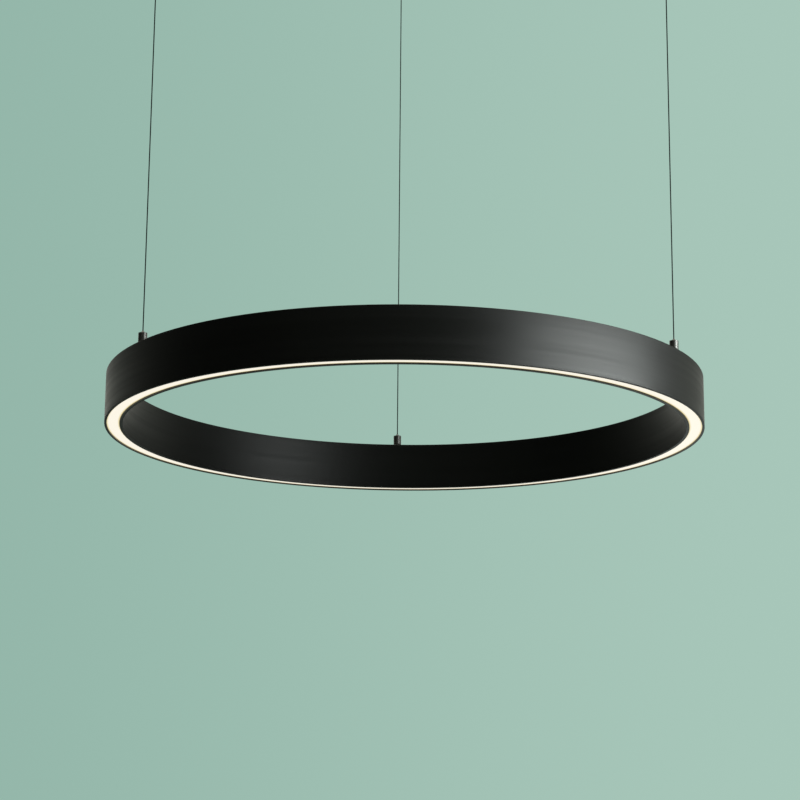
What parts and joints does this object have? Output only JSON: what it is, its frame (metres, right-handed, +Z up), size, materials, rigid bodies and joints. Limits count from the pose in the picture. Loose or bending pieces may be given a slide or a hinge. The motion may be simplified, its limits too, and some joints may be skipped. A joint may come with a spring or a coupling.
{
  "type": "led pendant light",
  "caption": "Slim black ring pendant light with a warm white light band in its underside, hung level from ceiling cups on thin wires with adjustable grippers.",
  "frame": {"origin": "on the ceiling, on the ring's axis, at the centre of the ceiling screws' circle", "axes": "+Z up; the rear wire hangs at +Y and the front faces -Y"},
  "size_m": [0.6, 0.6029, 0.65],
  "materials": {
    "black_aluminium": "satin black powder coat",
    "opal_diffuser": "opal, lit warm white",
    "bare_aluminium": "mill finish",
    "white_board": "white solder mask",
    "led_phosphor": "phosphor, lit",
    "driver_case": "moulded, fine grain",
    "plated_steel": "zinc plated",
    "nickel": "polished nickel",
    "brass": "turned",
    "black_wire": "black oxide, twisted strands",
    "black_plastic": "moulded",
    "red_lead": "insulated lead",
    "black_lead": "insulated lead",
    "nylon": "moulded nylon"
  },
  "bodies": {
    "ceiling": {"cup_grub_screws": "plated_steel", "rear_ceiling_base": "bare_aluminium", "rear_ceiling_cup": "black_aluminium", "rear_nipple_seat": "black_plastic", "left_ceiling_base": "bare_aluminium", "left_ceiling_cup": "black_aluminium", "left_nipple_seat": "black_plastic", "right_ceiling_base": "bare_aluminium", "right_ceiling_cup": "black_aluminium", "right_nipple_seat": "black_plastic", "left_supply_terminal": "brass", "right_supply_terminal": "brass"},
    "rear_upper_liner": {"rear_nipple_liner": "brass"},
    "rear_suspension": {"rear_wire": "black_wire", "rear_wire_nipple": "brass"},
    "rear_gripper": {"rear_gripper_body": "nickel", "rear_swivel_stem": "nickel", "rear_gripper_spring": "plated_steel"},
    "rear_release": {"rear_release_tip": "nickel", "rear_clamp_balls": "plated_steel"},
    "left_upper_liner": {"left_nipple_liner": "brass"},
    "left_suspension": {"left_wire": "black_wire", "left_wire_nipple": "brass"},
    "left_gripper": {"left_gripper_body": "nickel", "left_swivel_stem": "nickel", "left_gripper_spring": "plated_steel", "left_swivel_liner": "brass"},
    "left_release": {"left_release_tip": "nickel", "left_clamp_balls": "plated_steel"},
    "right_upper_liner": {"right_nipple_liner": "brass"},
    "right_suspension": {"right_wire": "black_wire", "right_wire_nipple": "brass"},
    "right_gripper": {"right_gripper_body": "nickel", "right_swivel_stem": "nickel", "right_gripper_spring": "plated_steel", "right_swivel_liner": "brass"},
    "right_release": {"right_release_tip": "nickel", "right_clamp_balls": "plated_steel"},
    "rear_lower_liner": {"rear_swivel_liner": "brass"},
    "ring": {"ring_housing": "black_aluminium", "light_diffuser": "opal_diffuser", "led_tray": "bare_aluminium", "led_strip": "white_board", "led_chips": "led_phosphor", "led_driver": "driver_case", "driver_screws": "plated_steel", "output_pins": "brass", "left_feed_lead": "red_lead", "right_feed_lead": "black_lead", "lead_clips": "nylon", "rear_swivel_seat": "black_plastic", "rear_seat_collar": "black_aluminium", "rear_contact_ring": "brass", "left_swivel_seat": "black_plastic", "left_seat_collar": "black_aluminium", "left_contact_ring": "brass", "right_swivel_seat": "black_plastic", "right_seat_collar": "black_aluminium", "right_contact_ring": "brass"}
  },
  "joints": [
    {"name": "sway_side", "type": "hinge", "parent": "ceiling", "child": "rear_upper_liner", "pos_m": [0, 0.2909, -0.0225], "axis": [0, 1, 0], "range_deg": [-10, 10]},
    {"name": "sway_depth", "type": "hinge", "parent": "rear_upper_liner", "child": "rear_suspension", "pos_m": [0, 0.2909, -0.0225], "axis": [1, 0, 0], "range_deg": [-10, 10]},
    {"name": "height", "type": "slide", "parent": "rear_suspension", "child": "rear_gripper", "axis": [0, 0, 1], "range_m": [0, 0.018]},
    {"name": "left_sway_side", "type": "hinge", "parent": "ceiling", "child": "left_upper_liner", "pos_m": [-0.25193, -0.14545, -0.0225], "axis": [0, 1, 0], "range_deg": [-10, 10]},
    {"name": "left_sway_depth", "type": "hinge", "parent": "left_upper_liner", "child": "left_suspension", "pos_m": [-0.25193, -0.14545, -0.0225], "axis": [1, 0, 0], "range_deg": [-10, 10]},
    {"name": "left_height", "type": "slide", "parent": "left_suspension", "child": "left_gripper", "axis": [0, 0, 1], "range_m": [0, 0.018]},
    {"name": "right_sway_side", "type": "hinge", "parent": "ceiling", "child": "right_upper_liner", "pos_m": [0.25193, -0.14545, -0.0225], "axis": [0, 1, 0], "range_deg": [-10, 10]},
    {"name": "right_sway_depth", "type": "hinge", "parent": "right_upper_liner", "child": "right_suspension", "pos_m": [0.25193, -0.14545, -0.0225], "axis": [1, 0, 0], "range_deg": [-10, 10]},
    {"name": "right_height", "type": "slide", "parent": "right_suspension", "child": "right_gripper", "axis": [0, 0, 1], "range_m": [0, 0.018]},
    {"name": "ring_level_depth", "type": "hinge", "parent": "rear_gripper", "child": "rear_lower_liner", "pos_m": [0, 0.2909, -0.60218], "axis": [1, 0, 0], "range_deg": [-10, 10]},
    {"name": "ring_level_side", "type": "hinge", "parent": "rear_lower_liner", "child": "ring", "pos_m": [0, 0.2909, -0.60218], "axis": [0, 1, 0], "range_deg": [-10, 10]},
    {"name": "rear_release_press", "type": "slide", "parent": "rear_gripper", "child": "rear_release", "axis": [0, 0, -1], "range_m": [0, 0.0014], "stiffness_N_per_m": 300, "springref_m": -0.003, "deforming": ["rear_gripper_spring"]},
    {"name": "left_release_press", "type": "slide", "parent": "left_gripper", "child": "left_release", "axis": [0, 0, -1], "range_m": [0, 0.0014], "stiffness_N_per_m": 300, "springref_m": -0.003, "deforming": ["left_gripper_spring"]},
    {"name": "right_release_press", "type": "slide", "parent": "right_gripper", "child": "right_release", "axis": [0, 0, -1], "range_m": [0, 0.0014], "stiffness_N_per_m": 300, "springref_m": -0.003, "deforming": ["right_gripper_spring"]}
  ],
  "couplings": [
    {"joint": "left_sway_side", "follows": "sway_side", "ratio": 1},
    {"joint": "left_sway_depth", "follows": "sway_depth", "ratio": 1},
    {"joint": "left_height", "follows": "height", "ratio": 1},
    {"joint": "right_sway_side", "follows": "sway_side", "ratio": 1},
    {"joint": "right_sway_depth", "follows": "sway_depth", "ratio": 1},
    {"joint": "right_height", "follows": "height", "ratio": 1},
    {"joint": "ring_level_depth", "follows": "sway_depth", "ratio": -1},
    {"joint": "ring_level_side", "follows": "sway_side", "ratio": -1}
  ]
}
